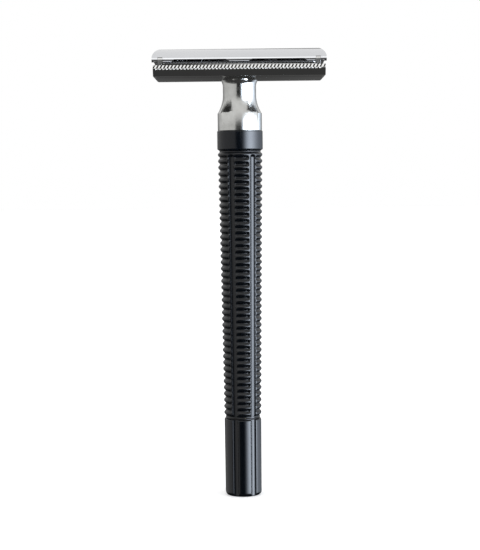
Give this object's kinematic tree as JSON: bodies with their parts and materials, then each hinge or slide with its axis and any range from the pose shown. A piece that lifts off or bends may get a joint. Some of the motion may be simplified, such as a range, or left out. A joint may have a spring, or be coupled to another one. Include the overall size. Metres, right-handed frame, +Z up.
{
  "type": "twist-to-open double-edge safety razor",
  "caption": "Long-handled double-edge safety razor whose domed cap opens as two hinged doors when the ribbed handle's foot knob is turned, with a clamped blade.",
  "frame": {"origin": "centre of the flat rest face at the foot of the twist knob", "axes": "+Z up the handle to the head, X along the head and its edges, front at -Y"},
  "size_m": [0.043, 0.0246, 0.1133],
  "materials": {
    "grip_plastic": "satin moulded plastic, near-black blue",
    "collar_plastic": "smooth moulded plastic, near-black blue",
    "chromed_metal": "polished chrome plate with faint wear",
    "chromed_guard": "polished chrome plate",
    "chromed_cap": "polished chrome plate",
    "plated_brass": "nickel plate over pressed metal",
    "pin_steel": "bright drawn steel",
    "blade_steel": "rolled stainless strip with ground edges",
    "plain_steel": "turned steel",
    "plain_brass": "turned brass",
    "tube_metal": "drawn tube, plain"
  },
  "bodies": {
    "handle": {"neck_casting": "chromed_metal", "guard_plate": "chromed_guard", "under_tray": "chromed_guard", "barrel_tube": "tube_metal", "grip_sleeve": "grip_plastic", "grip_collar": "collar_plastic", "bearing_bush": "plain_brass"},
    "knob": {"twist_knob": "grip_plastic", "knob_core": "plain_brass", "drive_screw": "plain_steel", "retaining_ring": "pin_steel", "thrust_washer": "plain_steel"},
    "carrier": {"centre_bar": "plated_brass", "end_bracket_left": "plated_brass", "end_bracket_right": "plated_brass", "hinge_pins": "pin_steel", "bracket_rivets": "pin_steel", "lift_rod": "plain_steel", "rod_nut": "plain_brass", "blade": "blade_steel"},
    "front_door": {"door_front": "chromed_cap"},
    "rear_door": {"door_rear": "chromed_cap"}
  },
  "joints": [
    {"name": "knob_turn", "type": "hinge", "parent": "handle", "child": "knob", "pos_m": [0, 0, 0.0197], "axis": [0, 0, -1], "range_deg": [0, 576]},
    {"name": "carrier_lift", "type": "slide", "parent": "handle", "child": "carrier", "axis": [0, 0, 1], "range_m": [0, 0.0032]},
    {"name": "front_door_hinge", "type": "hinge", "parent": "carrier", "child": "front_door", "pos_m": [0, -0.0099, 0.11009], "axis": [1, 0, 0], "range_deg": [0, 80]},
    {"name": "rear_door_hinge", "type": "hinge", "parent": "carrier", "child": "rear_door", "pos_m": [0, 0.0099, 0.11009], "axis": [-1, 0, 0], "range_deg": [0, 80]}
  ],
  "couplings": [
    {"joint": "knob_turn", "follows": "carrier_lift", "rad_per_m": 3141.6},
    {"joint": "front_door_hinge", "follows": "carrier_lift", "rad_per_m": 436.33},
    {"joint": "rear_door_hinge", "follows": "carrier_lift", "rad_per_m": 436.33}
  ]
}
